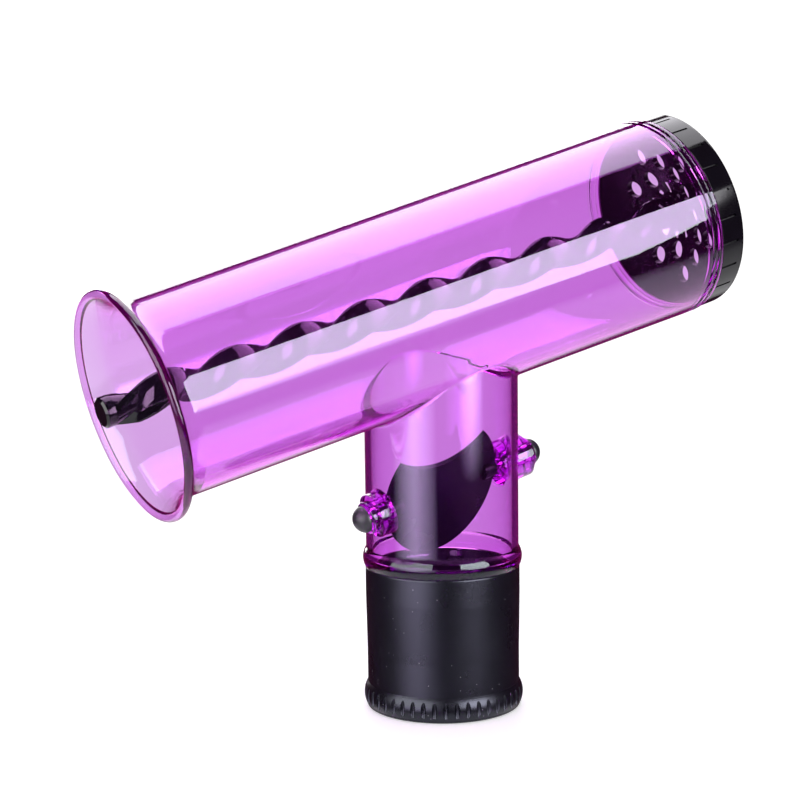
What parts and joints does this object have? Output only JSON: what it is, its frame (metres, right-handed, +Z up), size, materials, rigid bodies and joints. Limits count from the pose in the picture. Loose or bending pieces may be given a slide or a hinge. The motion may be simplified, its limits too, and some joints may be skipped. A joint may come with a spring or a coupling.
{
  "type": "hair dryer diffuser",
  "caption": "T-shaped clear purple curling tunnel for a hair dryer: tilted flared barrel with a twisted black rod, perforated end cap, tilting air flap in the neck and a rubber nozzle collar.",
  "frame": {"origin": "centre of the mouth of the collar's nozzle socket, at the collar's bottom face", "axes": "+Z up the neck's axis; the barrel's axis lies in the XZ plane with its open mouth towards -X and its perforated cap towards +X and up"},
  "size_m": [0.2387, 0.0778, 0.2049],
  "materials": {
    "clear_purple": "clear gloss",
    "black_rubber": "matte",
    "gloss_black": "gloss",
    "matte_knob": "matte",
    "screw_steel": "plated"
  },
  "bodies": {
    "housing": {"clear_body": "clear_purple", "grip_collar": "black_rubber", "bushing_left": "clear_purple", "bushing_right": "clear_purple"},
    "deflector": {"deflector_flap": "gloss_black", "pivot_left": "gloss_black", "pivot_right": "gloss_black", "knob_left": "matte_knob", "knob_right": "matte_knob"},
    "rod_unit": {"air_dish": "gloss_black", "curl_rod": "gloss_black", "rod_screw": "screw_steel", "rod_washer": "screw_steel"},
    "ring": {"lock_ring": "gloss_black"}
  },
  "joints": [
    {"name": "deflector_tilt", "type": "hinge", "parent": "housing", "child": "deflector", "pos_m": [0, 0, 0.0769], "axis": [0.9686, 0, 0.2487], "range_deg": [-68, 12]},
    {"name": "rod_unit_pull", "type": "slide", "parent": "housing", "child": "rod_unit", "axis": [0.9686, 0, 0.2487], "range_m": [0, 0.235]},
    {"name": "ring_twist", "type": "hinge", "parent": "rod_unit", "child": "ring", "pos_m": [0, 0, 0.1438], "axis": [0.9686, 0, 0.2487], "range_deg": [0, 45]}
  ]
}
